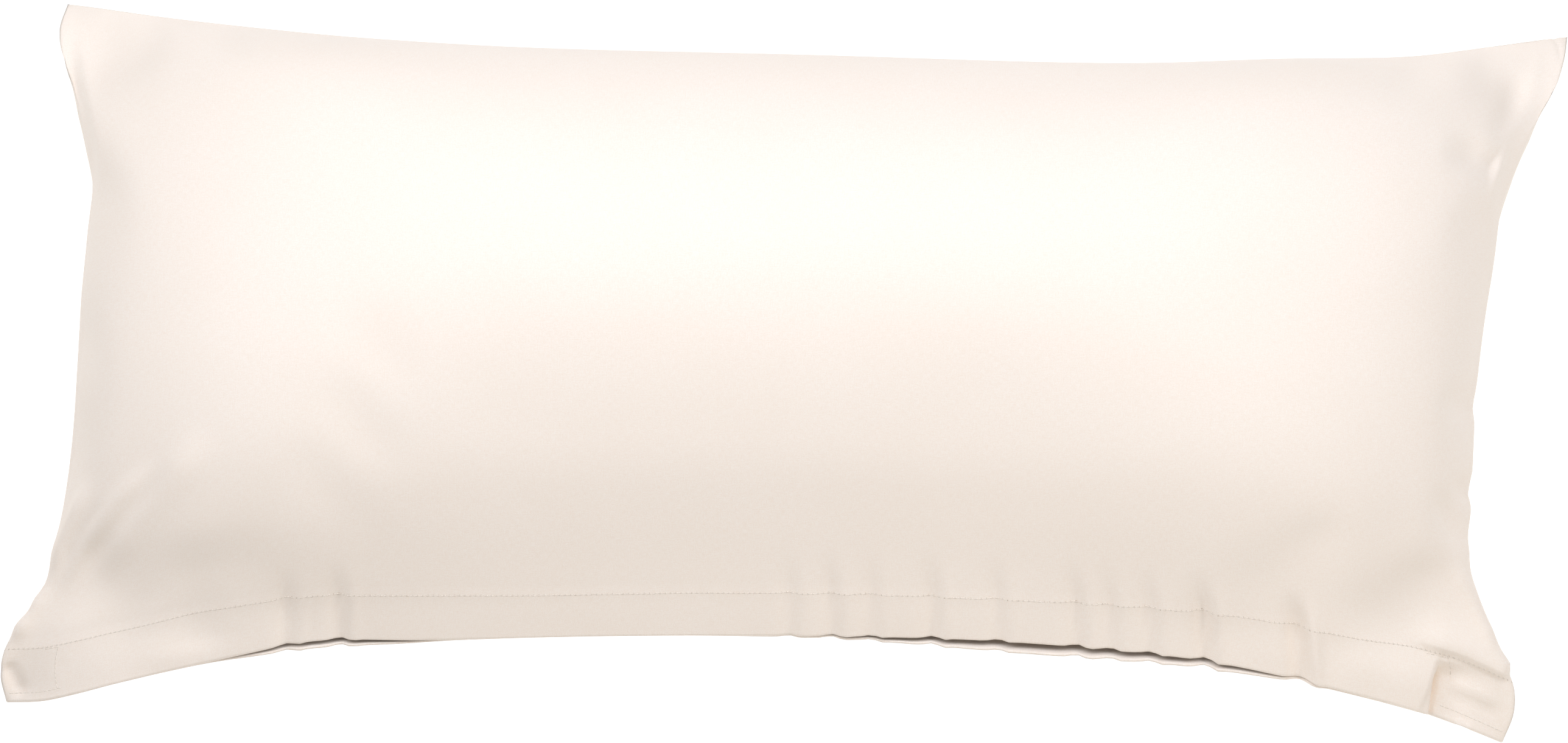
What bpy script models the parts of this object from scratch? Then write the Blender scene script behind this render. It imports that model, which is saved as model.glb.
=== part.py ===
"""A cotton satin pillowcase, 800 mm x 400 mm when flat, filled and lying on its back.

The case is one cloth folded at the top edge, sewn up both short sides and hemmed at the
mouth, which is the long edge at -Y. It is modelled as one filled solid: a crowned front,
a back that rests flat at z = 0, pinched ears that droop at the four corners, drawn-in
sides between them, and two hems that carry the panels' slope down to the mouth, with an
open slit between them.

Metres, +Z up. +X runs along the long side, -Y is the mouth. The origin is at the middle
of the bounding box, on the surface that the case lies on.
"""

import math
from collections import namedtuple

import bmesh
import bpy

NAME = "pillowcase"

# --- Driving sizes, in metres -------------------------------------------------------------
SEAM_HEIGHT = 0.084         # the side seams' height above the surface
CROWN_RISE = 0.094          # the front's crown above the seams
BELLY_DEPTH = 0.120         # the back's belly below the seams, before the surface flattens it
BELLY_SETTLE = 0.012        # how softly the belly meets the surface
CLOTH_HALF = 0.0015         # half of the two cloths' thickness where they lie together
EDGE_ROUND = 0.006          # the width over which the cloths close into a seam or fold
END_POWER = 3.2             # how late the crown starts to fall towards the side seams
EAR_LENGTH = 0.070          # the distance from its tip over which an ear's droop fades

HEM_DROOP = 0.002           # how far the hems' edge hangs
HEM_THICK = 0.003           # one turned hem at its edge
SLIT_GAP = 0.0090           # the open slit between the hems at the middle of the mouth
SLIT_DEPTH = 0.025          # how deep the slit goes in from the mouth's edge
SLIT_START = 0.055          # shares of the mouth's width where the sewn boxes end the slit
SLIT_END = 0.945
SLIT_TAPER = 0.16           # share of the width over which the slit closes towards each box
HEM_BAND = 0.10             # share of the panel that moves with the hem's edge
HEM_FADE = 0.12             # share over which the hems' thickness fades into plain cloth

COLUMNS = 64                # quads along the long side
ROWS = 26                   # quads from the mouth's edge to the top fold
SLIT_ROWS = 3               # quads from the mouth's edge to the slit's root
END_CROWDING = 0.72         # how much closer together the quads lie near the edges

# --- The outline's corners, in plan ---------------------------------------------------------
# reach: how far from the corner the filling fades out. droop: how far its tip hangs below
# the side seams.
Corner = namedtuple("Corner", "x y reach droop")
TOP_LEFT = Corner(-0.3852, 0.1964, 0.080, 0.035)
TOP_RIGHT = Corner(0.4120, 0.1786, 0.085, 0.035)
MOUTH_LEFT = Corner(-0.4110, -0.1751, 0.105, 0.046)
MOUTH_RIGHT = Corner(0.3712, -0.1964, 0.105, 0.046)
CORNERS = (TOP_LEFT, TOP_RIGHT, MOUTH_LEFT, MOUTH_RIGHT)

# --- How far each edge is drawn in from the straight line between its corners --------------
# share: how far along the line, from its first corner. drawn_in: towards the body.
DrawnIn = namedtuple("DrawnIn", "share drawn_in")

TOP_FOLD = (
    DrawnIn(0.00, 0.0000),
    DrawnIn(0.06, 0.0094),
    DrawnIn(0.12, 0.0160),
    DrawnIn(0.20, 0.0220),
    DrawnIn(0.32, 0.0262),
    DrawnIn(0.50, 0.0269),
    DrawnIn(0.69, 0.0278),
    DrawnIn(0.81, 0.0223),
    DrawnIn(0.89, 0.0185),
    DrawnIn(0.945, 0.0104),
    DrawnIn(1.00, 0.0000),
)
LEFT_SEAM = (
    DrawnIn(0.00, 0.0000),
    DrawnIn(0.035, -0.0032),
    DrawnIn(0.075, -0.0002),
    DrawnIn(0.13, 0.0136),
    DrawnIn(0.20, 0.0222),
    DrawnIn(0.35, 0.0272),
    DrawnIn(0.55, 0.0257),
    DrawnIn(0.70, 0.0241),
    DrawnIn(0.80, 0.0138),
    DrawnIn(0.91, 0.0007),
    DrawnIn(0.96, -0.0021),
    DrawnIn(1.00, 0.0000),
)
RIGHT_SEAM = (
    DrawnIn(0.00, 0.0000),
    DrawnIn(0.04, -0.0035),
    DrawnIn(0.08, -0.0003),
    DrawnIn(0.14, 0.0160),
    DrawnIn(0.20, 0.0268),
    DrawnIn(0.30, 0.0308),
    DrawnIn(0.50, 0.0340),
    DrawnIn(0.69, 0.0286),
    DrawnIn(0.80, 0.0180),
    DrawnIn(0.91, 0.0040),
    DrawnIn(0.96, 0.0010),
    DrawnIn(1.00, 0.0000),
)
MOUTH_EDGE = (
    DrawnIn(0.00, 0.0000),
    DrawnIn(0.03, 0.0002),
    DrawnIn(0.08, 0.0087),
    DrawnIn(0.16, 0.0230),
    DrawnIn(0.21, 0.0310),
    DrawnIn(0.28, 0.0326),
    DrawnIn(0.41, 0.0373),
    DrawnIn(0.53, 0.0399),
    DrawnIn(0.64, 0.0403),
    DrawnIn(0.73, 0.0374),
    DrawnIn(0.80, 0.0328),
    DrawnIn(0.87, 0.0236),
    DrawnIn(0.95, 0.0108),
    DrawnIn(1.00, 0.0000),
)

# --- The body's sections from the mouth's edge to the top fold -----------------------------
# share: of the way. height: of the full crown. In the middle the mouth's side slopes evenly,
# because the hems carry the panel's slope down to their edge; the fold's side is round. Near
# the side seams both sides are round.
END_START = 0.25            # share of the half width at which the end's section starts
END_FULL = 0.85             # share of the half width at which it holds alone
SectionHeight = namedtuple("SectionHeight", "share height")
BODY_SECTION = (
    SectionHeight(0.00, 0.000),
    SectionHeight(0.05, 0.105),
    SectionHeight(0.10, 0.215),
    SectionHeight(0.20, 0.470),
    SectionHeight(0.30, 0.715),
    SectionHeight(0.42, 0.910),
    SectionHeight(0.54, 1.000),
    SectionHeight(0.66, 0.985),
    SectionHeight(0.77, 0.900),
    SectionHeight(0.87, 0.735),
    SectionHeight(0.94, 0.530),
    SectionHeight(0.98, 0.310),
    SectionHeight(1.00, 0.000),
)
END_SECTION = (
    SectionHeight(0.00, 0.000),
    SectionHeight(0.05, 0.150),
    SectionHeight(0.10, 0.335),
    SectionHeight(0.20, 0.700),
    SectionHeight(0.30, 0.905),
    SectionHeight(0.42, 0.990),
    SectionHeight(0.54, 1.000),
    SectionHeight(0.66, 0.985),
    SectionHeight(0.77, 0.910),
    SectionHeight(0.87, 0.750),
    SectionHeight(0.94, 0.540),
    SectionHeight(0.98, 0.315),
    SectionHeight(1.00, 0.000),
)

# --- Where the back hem's edge stands out past the front hem's -----------------------------
BackShows = namedtuple("BackShows", "share out")
BACK_HEM = (
    BackShows(0.00, 0.0000),
    BackShows(0.13, 0.0000),
    BackShows(0.21, 0.0035),
    BackShows(0.31, 0.0000),
    BackShows(0.53, 0.0000),
    BackShows(0.67, 0.0050),
    BackShows(0.80, 0.0020),
    BackShows(0.88, 0.0000),
    BackShows(1.00, 0.0000),
)

# --- Main folds of the front, as soft troughs in plan --------------------------------------
# from (x1, y1) to (x2, y2); reach: the half width; depth: at the middle.
Trough = namedtuple("Trough", "x1 y1 x2 y2 reach depth")
TROUGHS = (
    Trough(-0.363, -0.109, -0.342, -0.075, 0.012, 0.008),
    Trough(-0.351, -0.117, -0.321, -0.079, 0.013, 0.007),
    Trough(-0.381, -0.071, -0.365, -0.029, 0.012, 0.005),
    Trough(-0.369, 0.167, -0.353, 0.121, 0.014, 0.006),
    Trough(-0.337, 0.167, -0.307, 0.121, 0.016, 0.004),
    Trough(0.377, 0.124, 0.345, 0.106, 0.014, 0.008),
    Trough(0.365, 0.103, 0.333, 0.101, 0.013, 0.007),
    Trough(0.365, 0.086, 0.357, 0.051, 0.012, 0.006),
    Trough(0.349, -0.079, 0.331, -0.053, 0.012, 0.006),
    Trough(0.345, -0.109, 0.321, -0.071, 0.013, 0.006),
    Trough(0.338, -0.144, 0.293, -0.117, 0.016, 0.006),
    Trough(-0.357, -0.139, -0.307, -0.113, 0.015, 0.005),
)

# --- Soft waves of the hems' edge -----------------------------------------------------------
Wave = namedtuple("Wave", "share reach lift")
HEM_WAVES = (
    Wave(0.13, 0.035, 0.0015),
    Wave(0.21, 0.030, -0.0012),
    Wave(0.70, 0.020, 0.0008),
    Wave(0.77, 0.020, -0.0015),
    Wave(0.83, 0.022, 0.0022),
    Wave(0.90, 0.030, -0.0015),
)

CLOTH_COLOUR = (0.86, 0.80, 0.72, 1.0)
CLOTH_ROUGHNESS = 0.55


def between(table, column, share):
    """Read one column of a table at a share, on a smooth curve through its rows."""
    last = len(table) - 2
    row = 0
    while row < last and table[row + 1].share < share:
        row += 1
    before = table[max(row - 1, 0)]
    start = table[row]
    end = table[row + 1]
    after = table[min(row + 2, last + 1)]
    span = end.share - start.share
    t = min(max((share - start.share) / span, 0.0), 1.0)
    low = getattr(start, column)
    high = getattr(end, column)
    slope_low = span * (high - getattr(before, column)) / (end.share - before.share)
    slope_high = span * (getattr(after, column) - low) / (after.share - start.share)
    t2 = t * t
    t3 = t2 * t
    return (low * (2 * t3 - 3 * t2 + 1) + slope_low * (t3 - 2 * t2 + t)
            + high * (3 * t2 - 2 * t3) + slope_high * (t3 - t2))


def mix(low, high, share):
    """Blend two numbers."""
    return low + (high - low) * share


def ramp(value, low, high):
    """0 up to low, 1 from high on, smooth between."""
    t = min(max((value - low) / (high - low), 0.0), 1.0)
    return t * t * (3.0 - 2.0 * t)


def edge_point(start, end, drawn_in, share, side):
    """A point of the outline: on the line between two corners, drawn in to one side of it."""
    along_x = end.x - start.x
    along_y = end.y - start.y
    length = math.hypot(along_x, along_y)
    inward = side * between(drawn_in, "drawn_in", share)
    x = start.x + along_x * share - along_y / length * inward
    y = start.y + along_y * share + along_x / length * inward
    return x, y


def plan_point(across, up):
    """Plan position in the panels: across from the left, up from the mouth to the fold."""
    bottom = edge_point(MOUTH_LEFT, MOUTH_RIGHT, MOUTH_EDGE, across, 1)
    top = edge_point(TOP_LEFT, TOP_RIGHT, TOP_FOLD, across, -1)
    left = edge_point(MOUTH_LEFT, TOP_LEFT, LEFT_SEAM, up, -1)
    right = edge_point(MOUTH_RIGHT, TOP_RIGHT, RIGHT_SEAM, up, 1)
    point = []
    for axis in (0, 1):
        ruled = mix(bottom[axis], top[axis], up) + mix(left[axis], right[axis], across)
        corners = mix(mix(MOUTH_LEFT[axis], MOUTH_RIGHT[axis], across),
                      mix(TOP_LEFT[axis], TOP_RIGHT[axis], across), up)
        point.append(ruled - corners)
    return point[0], point[1]


def at_hem(up):
    """1 at the mouth's edge, fading to 0 at the top of the hems."""
    return max(0.0, 1.0 - up / HEM_BAND)


def back_plan_point(across, up):
    """Plan position in the back panel, whose hem stands out a little past the front's."""
    x, y = plan_point(across, up)
    return x, y - between(BACK_HEM, "out", across) * at_hem(up)


def crowded(index, count):
    """Share of an edge at a grid line; the lines lie closer together at both ends."""
    even = index / count
    rounded = 0.5 - 0.5 * math.cos(math.pi * even)
    return mix(even, rounded, END_CROWDING)


def bell(distance, reach):
    """A smooth bump: 1 at distance 0, nearly 0 at twice its reach."""
    return math.exp(-(distance / reach) ** 2)


def ear(x, y):
    """How much a point of the plan belongs to one of the four ears: 1 at a corner's tip."""
    return max(bell(math.dist((x, y), (corner.x, corner.y)), corner.reach)
               for corner in CORNERS)


def ear_droop(x, y):
    """How far a point of the plan hangs below the side seams, because of the four ears."""
    return sum(corner.droop * math.exp(-math.dist((x, y), (corner.x, corner.y)) / EAR_LENGTH)
               for corner in CORNERS)


def filling(across, up, x, y):
    """Share of the full crown at a point: rounded across both ways, none in the ears."""
    along = abs(2.0 * across - 1.0)
    length_profile = math.sqrt(max(0.0, 1.0 - along ** END_POWER))
    section = mix(between(BODY_SECTION, "height", up), between(END_SECTION, "height", up),
                  ramp(along, END_START, END_FULL))
    return length_profile * section * (1.0 - ear(x, y))


def slit_gap(across):
    """Height of the open slit between the hems: none at the sewn boxes, full in the middle."""
    inside = min(across - SLIT_START, SLIT_END - across)
    if inside <= 0.0:
        return 0.0
    opened = min(1.0, inside / SLIT_TAPER)
    return SLIT_GAP * math.sin(0.5 * math.pi * opened)


def edge_rounding(across, up):
    """0 on the side seams and the top fold, 1 a little way inside them."""
    x, y = plan_point(across, up)
    left = plan_point(0.0, up)
    right = plan_point(1.0, up)
    top = plan_point(across, 1.0)
    inside = min(math.dist((x, y), left), math.dist((x, y), right), math.dist((x, y), top))
    reached = min(1.0, inside / EDGE_ROUND)
    return math.sqrt(1.0 - (1.0 - reached) ** 2)


def cloth_half(across, up):
    """Half of the cloths' height together: hems and slit at the mouth, plain cloth above."""
    hems = HEM_THICK + 0.5 * slit_gap(across)
    faded = min(max((up - HEM_BAND) / HEM_FADE, 0.0), 1.0)
    return mix(hems, CLOTH_HALF, faded) * edge_rounding(across, up)


def hem_wave(across):
    """Rise and fall of the hems' edge."""
    return sum(wave.lift * bell(across - wave.share, wave.reach) for wave in HEM_WAVES)


def seam_height(across, up):
    """Height of the surface midway between front and back."""
    height = SEAM_HEIGHT - ear_droop(*plan_point(across, up))
    return height + at_hem(up) * (hem_wave(across) - HEM_DROOP)


def trough_depth(x, y):
    """How deep the front's folds are at a point of the plan."""
    deepest = 0.0
    for trough in TROUGHS:
        along_x = trough.x2 - trough.x1
        along_y = trough.y2 - trough.y1
        length = math.hypot(along_x, along_y)
        along = ((x - trough.x1) * along_x + (y - trough.y1) * along_y) / length
        aside = ((y - trough.y1) * along_x - (x - trough.x1) * along_y) / length
        past = max(-along, along - length, 0.0)
        depth = trough.depth * bell(aside, trough.reach) * bell(past, trough.reach)
        deepest = max(deepest, depth)
    return deepest


def front_point(across, up):
    """A point of the front panel."""
    x, y = plan_point(across, up)
    base = seam_height(across, up) + cloth_half(across, up)
    crown = CROWN_RISE * filling(across, up, x, y)
    folded = min(trough_depth(x, y), 0.6 * crown)
    return x, y, base + crown - folded


def back_point(across, up):
    """A point of the back panel, flattened where it lies on the surface."""
    x, y = back_plan_point(across, up)
    base = seam_height(across, up) - cloth_half(across, up)
    clear = base - BELLY_DEPTH * filling(across, up, x, y)
    if clear <= 0.0:
        return x, y, 0.0
    return x, y, clear * (1.0 - bell(clear, BELLY_SETTLE))


def slit_point(across, inward, front):
    """A point of the slit's wall: inward is 0 at the hem's edge and 1 at the slit's root."""
    edge = plan_point if front else back_plan_point
    side = 1.0 if front else -1.0
    x, root_y = plan_point(across, 0.0)
    y = mix(edge(across, 0.0)[1], root_y + SLIT_DEPTH, inward)
    return x, y, seam_height(across, 0.0) + side * 0.5 * slit_gap(across)


def ring_points(across):
    """One section of the outer skin, from the front hem's edge over the fold to the back's."""
    front = [front_point(across, crowded(row, ROWS)) for row in range(ROWS + 1)]
    back = [back_point(across, crowded(row, ROWS)) for row in range(ROWS - 1, -1, -1)]
    return front, back


def outer_skin(mesh, shares):
    """Add the sections' points; at both side seams the back shares the front's points."""
    rings = []
    for column, across in enumerate(shares):
        front, back = ring_points(across)
        ring = [mesh.verts.new(point) for point in front]
        if column in (0, len(shares) - 1):
            ring += ring[-2::-1]
        else:
            ring += [mesh.verts.new(point) for point in back]
        rings.append(ring)
    return rings


def slit_walls(mesh, shares, first, last):
    """Add the slit's wall points: rows from the hem's edge to its root, one where it ends."""
    walls = {}
    for column in range(first, last + 1):
        inwards = [row / SLIT_ROWS for row in range(SLIT_ROWS + 1)]
        front = [mesh.verts.new(slit_point(shares[column], inward, True)) for inward in inwards]
        back = front
        if column not in (first, last):
            back = [mesh.verts.new(slit_point(shares[column], inward, False))
                    for inward in inwards]
        walls[column] = (front, back)
    return walls


def add_face(mesh, corners):
    """Add a face from its corners, leaving out any that repeat."""
    kept = [corner for index, corner in enumerate(corners) if corner != corners[index - 1]]
    if len(set(kept)) > 2:
        mesh.faces.new(kept)


def add_cell(mesh, corners, tip):
    """Add a quad of the skin; at an ear's tip it is cut from the tip, to keep the ear open."""
    if tip not in corners:
        add_face(mesh, corners)
        return
    first = corners.index(tip)
    turned = corners[first:] + corners[:first]
    add_face(mesh, turned[:3])
    add_face(mesh, (turned[0], turned[2], turned[3]))


def join_rings(mesh, rings):
    """Loft the outer skin between neighbouring sections."""
    tips = (rings[0][ROWS], rings[-1][ROWS])
    for left, right in zip(rings, rings[1:]):
        tip = tips[1] if right is rings[-1] else tips[0]
        for row in range(len(left) - 1):
            add_cell(mesh, (left[row], right[row], right[row + 1], left[row + 1]), tip)


def close_mouth(mesh, rings, walls):
    """Close the hems' edge: plain where the corners are sewn, around the slit elsewhere."""
    for column in range(len(rings) - 1):
        left = rings[column]
        right = rings[column + 1]
        if column in walls and column + 1 in walls:
            left_front, left_back = walls[column]
            right_front, right_back = walls[column + 1]
            add_face(mesh, (right[0], left[0], left_front[0], right_front[0]))
            add_face(mesh, (left[-1], right[-1], right_back[0], left_back[0]))
            for row in range(SLIT_ROWS):
                add_face(mesh, (right_front[row], left_front[row],
                                left_front[row + 1], right_front[row + 1]))
                add_face(mesh, (left_back[row], right_back[row],
                                right_back[row + 1], left_back[row + 1]))
            add_face(mesh, (right_front[-1], left_front[-1], left_back[-1], right_back[-1]))
        else:
            corners = [right[0], left[0]]
            if column in walls:
                corners.append(walls[column][0][0])
            corners += [left[-1], right[-1]]
            if column + 1 in walls:
                corners.append(walls[column + 1][0][0])
            add_face(mesh, corners)


def centred(mesh):
    """Put the origin at the middle of the bounding box, on the surface below."""
    for axis in (0, 1):
        places = [vertex.co[axis] for vertex in mesh.verts]
        middle = 0.5 * (min(places) + max(places))
        for vertex in mesh.verts:
            vertex.co[axis] -= middle
    lowest = min(vertex.co.z for vertex in mesh.verts)
    for vertex in mesh.verts:
        vertex.co.z -= lowest


def cloth_material():
    """Cream cotton satin."""
    material = bpy.data.materials.new("cream_cotton_satin")
    material.use_nodes = True
    shader = material.node_tree.nodes["Principled BSDF"]
    shader.inputs["Base Color"].default_value = CLOTH_COLOUR
    shader.inputs["Roughness"].default_value = CLOTH_ROUGHNESS
    shader.inputs["Metallic"].default_value = 0.0
    return material


def make_pillowcase():
    """Loft the case and give it its cloth."""
    shares = [crowded(column, COLUMNS) for column in range(COLUMNS + 1)]
    open_columns = [column for column, across in enumerate(shares)
                    if SLIT_START < across < SLIT_END]
    mesh = bmesh.new()
    rings = outer_skin(mesh, shares)
    walls = slit_walls(mesh, shares, open_columns[0] - 1, open_columns[-1] + 1)
    join_rings(mesh, rings)
    close_mouth(mesh, rings, walls)
    centred(mesh)
    bmesh.ops.triangulate(mesh, faces=mesh.faces[:])
    bmesh.ops.recalc_face_normals(mesh, faces=mesh.faces[:])
    data = bpy.data.meshes.new(NAME)
    mesh.to_mesh(data)
    mesh.free()
    data.materials.append(cloth_material())
    data.shade_smooth()
    return bpy.data.objects.new(NAME, data)


def main():
    """Clear the scene and build the case in its own collection."""
    for old in list(bpy.data.objects):
        bpy.data.objects.remove(old, do_unlink=True)
    collection = bpy.data.collections.new(NAME)
    bpy.context.scene.collection.children.link(collection)
    collection.objects.link(make_pillowcase())


main()
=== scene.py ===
"""A filled cotton satin pillowcase, lying on its back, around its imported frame.

The case is one cloth of 800 mm x 800 mm: folded at the top edge (+Y), sewn up both short
sides and hemmed at the mouth (-Y). The script shapes it from its outline and its section,
settles it with Blender's cloth solver, lays the photographed folds into the fine mesh,
sews the visible stitching, and sets up a plain studio.

Metres, in the frame's own axes. Places that were read off the photograph are in the pixels
of its 2576 x 1221 picture, and one camera turns them into places on the case.
"""

import logging
import math
from dataclasses import dataclass
from enum import Enum
from typing import Any, NamedTuple, Sequence

import bpy
import numpy as np
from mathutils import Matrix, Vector


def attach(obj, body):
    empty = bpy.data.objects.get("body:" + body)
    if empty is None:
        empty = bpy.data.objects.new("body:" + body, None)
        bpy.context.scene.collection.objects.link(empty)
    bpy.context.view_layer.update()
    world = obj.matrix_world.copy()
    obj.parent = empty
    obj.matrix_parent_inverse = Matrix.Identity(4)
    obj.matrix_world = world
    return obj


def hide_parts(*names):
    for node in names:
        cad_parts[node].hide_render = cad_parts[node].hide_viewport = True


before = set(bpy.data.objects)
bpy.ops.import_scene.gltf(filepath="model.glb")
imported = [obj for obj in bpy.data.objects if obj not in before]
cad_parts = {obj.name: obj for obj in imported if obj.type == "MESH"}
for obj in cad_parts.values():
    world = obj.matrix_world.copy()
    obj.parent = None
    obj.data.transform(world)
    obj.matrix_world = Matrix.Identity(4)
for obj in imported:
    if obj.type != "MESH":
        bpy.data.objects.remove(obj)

log = logging.getLogger("pillowcase")

BODY = "root"
NODE = "pillowcase"
MM = 0.001

Array = np.ndarray
Pair = tuple[Array, Array]
Object = bpy.types.Object
Socket = bpy.types.NodeSocket


# --- Small helpers ---
class At(NamedTuple):
    """One row of a table that is read along a share from 0 to 1."""

    share: float
    value: float


def curve(*rows: tuple[float, float]) -> tuple[At, ...]:
    """Make a table of rows, each a share and its value."""
    return tuple(At(*row) for row in rows)


def read_along(table: Sequence[At], shares: Array) -> Array:
    """Read a table at many shares, on a smooth curve through its rows.

    Args:
        table: Rows in rising order of their share.
        shares: Where to read, each from 0 to 1.

    Returns:
        The values, in the shape of shares.
    """
    places = np.array([row.share for row in table])
    values = np.array([row.value for row in table])
    last = len(table) - 1
    before = np.maximum(np.arange(last + 1) - 1, 0)
    after = np.minimum(np.arange(last + 1) + 1, last)
    slopes = (values[after] - values[before]) / (places[after] - places[before])
    low = np.clip(np.searchsorted(places, shares, side="left") - 1, 0, last - 1)
    span = places[low + 1] - places[low]
    t = share_of((shares - places[low]) / span)
    return (values[low] * (2 * t**3 - 3 * t**2 + 1)
            + slopes[low] * span * (t**3 - 2 * t**2 + t)
            + values[low + 1] * (3 * t**2 - 2 * t**3)
            + slopes[low + 1] * span * (t**3 - t**2))


def length(vectors: Array, keep: bool = False) -> Array:
    """The lengths of the vectors along the last axis, which stays as one number on asking."""
    return np.linalg.norm(vectors, axis=-1, keepdims=keep)


def share_of(value: Any) -> Any:
    """Keep a share within 0 and 1."""
    return np.clip(value, 0.0, 1.0)


def ramp(value: Any, low: float, high: float) -> Any:
    """Rise smoothly from 0 at low to 1 at high."""
    t = share_of((value - low) / (high - low))
    return t * t * (3.0 - 2.0 * t)


def bell(distance: Array, reach: float) -> Array:
    """A smooth bump: 1 at distance 0, nearly 0 at twice its reach."""
    return np.exp(-(distance / reach) ** 2)


def linear(hex_colour: str) -> tuple[float, float, float, float]:
    """Turn an sRGB hex colour into the linear one that shaders take."""
    channels = []
    for start in (1, 3, 5):
        level = int(hex_colour[start:start + 2], 16) / 255.0
        channels.append(level / 12.92 if level <= 0.04045 else ((level + 0.055) / 1.055) ** 2.4)
    return channels[0], channels[1], channels[2], 1.0


class Nodes:
    """A shader's node tree: one way to add any node, and short ways to add the usual ones."""

    def __init__(self, tree: bpy.types.NodeTree) -> None:
        """Start from an empty tree."""
        self.tree = tree
        tree.nodes.clear()

    def add(self, kind: str, inputs: dict | None = None, **settings: Any) -> bpy.types.Node:
        """Add a node with its settings, its socket values and its links.

        Args:
            kind: The node's Blender type, without ShaderNode in front.
            inputs: Socket name or index to a value, or to the socket that feeds it.
            **settings: Attributes of the node.

        Returns:
            The new node.
        """
        node = self.tree.nodes.new("ShaderNode" + kind)
        for name, value in settings.items():
            setattr(node, name, value)
        for key, value in (inputs or {}).items():
            if isinstance(value, Socket):
                self.tree.links.new(value, node.inputs[key])
            else:
                node.inputs[key].default_value = value
        return node

    def math(self, operation: str, *values: Socket | float) -> Socket:
        """Work out one operation on one, two or three values."""
        return self.add("Math", dict(enumerate(values)), operation=operation).outputs[0]

    def span(self, value: Socket, low: float, high: float, first: float = 0.0,
             last: float = 1.0, **settings: Any) -> Socket:
        """Turn the range from low to high into the one from first to last."""
        return self.add("MapRange", {"Value": value, "From Min": low, "From Max": high,
                                     "To Min": first, "To Max": last}, **settings).outputs[0]

    def blend(self, share: Socket, first: Any, second: Any) -> Socket:
        """Blend two colours, all of the second where the share is 1."""
        return self.add("Mix", {0: share, 6: first, 7: second}, data_type="RGBA").outputs[2]

    def streaks(self, place: Socket, scale: tuple[float, float, float],
                roughness: float = 0.5) -> Socket:
        """Flat noise that is drawn out along one side of the cloth."""
        run = self.add("Mapping", {"Vector": place, "Scale": scale}).outputs[0]
        return self.add("TexNoise", {"Vector": run, "Scale": 1.0, "Detail": 1.0,
                                     "Roughness": roughness},
                        noise_dimensions="2D").outputs["Fac"]

    def bump(self, height: Socket, strength: float, distance: float,
             normal: Socket | None = None, **settings: Any) -> Socket:
        """Add relief over the surface, or over another relief's normal."""
        inputs = {"Height": height, "Strength": strength, "Distance": distance}
        if normal is not None:
            inputs["Normal"] = normal
        return self.add("Bump", inputs, **settings).outputs[0]

    def surface(self, inputs: dict) -> None:
        """Add the surface's shader and the material's output."""
        shader = self.add("BsdfPrincipled", inputs)
        self.add("OutputMaterial", {"Surface": shader.outputs[0]})


def new_material(name: str) -> tuple[bpy.types.Material, Nodes]:
    """Make a material without nodes, and a way to add them."""
    made = bpy.data.materials.new(name)
    made.use_nodes = True
    return made, Nodes(made.node_tree)


def select_only(piece: Object) -> None:
    """Make one object the only selected and the active one."""
    bpy.ops.object.select_all(action="DESELECT")
    piece.select_set(True)
    bpy.context.view_layer.objects.active = piece


def new_object(name: str, points: Array, faces: list) -> Object:
    """Make a mesh object from points and faces and link it to the scene."""
    mesh = bpy.data.meshes.new(name)
    mesh.from_pydata(points.tolist(), [], faces)
    mesh.update()
    piece = bpy.data.objects.new(name, mesh)
    bpy.context.scene.collection.objects.link(piece)
    return piece


def look_from(name: str, data: Any, place: Sequence[float], way: Vector) -> Object:
    """Put a camera or a light at a place, looking along a way."""
    made = bpy.data.objects.new(name, data)
    bpy.context.scene.collection.objects.link(made)
    made.location = place
    made.rotation_mode = "QUATERNION"
    made.rotation_quaternion = way.to_track_quat("-Z", "Y")
    return made


def add_plane(size: float, height: float) -> Object:
    """Add a square level plane."""
    bpy.ops.object.select_all(action="DESELECT")
    bpy.ops.mesh.primitive_plane_add(size=size, location=(0.0, 0.0, height))
    return bpy.context.object


def coordinates(mesh: bpy.types.Mesh) -> Array:
    """Read a mesh's vertices as an array of points."""
    flat = np.empty(len(mesh.vertices) * 3, np.float32)
    mesh.vertices.foreach_get("co", flat)
    return flat.reshape(-1, 3).astype(float)


# --- The photograph's camera ---
@dataclass(frozen=True)
class PhotoCamera:
    """The camera, ten degrees off the case's face towards its mouth, and its pixels."""

    picture_width: int = 2576
    picture_height: int = 1221
    lens_mm: float = 135.0
    sensor_mm: float = 36.0
    tilt_degrees: float = 10.0
    distance: float = 3.0574
    clip: tuple[float, float] = (0.05, 100.0)
    aim: tuple[float, float, float] = (-0.0042, -0.0082, 0.084)

    @property
    def back(self) -> Array:
        """The direction from the case to the camera."""
        tilt = math.radians(self.tilt_degrees)
        return np.array((0.0, -math.sin(tilt), math.cos(tilt)))

    @property
    def up(self) -> Array:
        """The direction that is up in the picture."""
        tilt = math.radians(self.tilt_degrees)
        return np.array((0.0, math.cos(tilt), math.sin(tilt)))

    @property
    def place(self) -> Array:
        """Where the camera stands."""
        return np.array(self.aim) + self.back * self.distance

    @property
    def focal_pixels(self) -> float:
        """The lens's focal length in the picture's pixels."""
        return self.lens_mm / self.sensor_mm * self.picture_width

    def pixels(self, points: Array) -> Array:
        """Find where points of the scene fall in the picture."""
        away = points - self.place
        depth = -(away @ self.back)
        across = 0.5 * self.picture_width + self.focal_pixels * away[:, 0] / depth
        down = 0.5 * self.picture_height - self.focal_pixels * (away @ self.up) / depth
        return np.stack((across, down), axis=1)

    def build(self) -> Object:
        """Add the camera and make it the scene's own."""
        data = bpy.data.cameras.new("photo_camera")
        data.lens = self.lens_mm
        data.sensor_width = self.sensor_mm
        data.clip_start, data.clip_end = self.clip
        camera = look_from("photo_camera", data, self.place, Vector(-self.back))
        bpy.context.scene.camera = camera
        return camera


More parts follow.
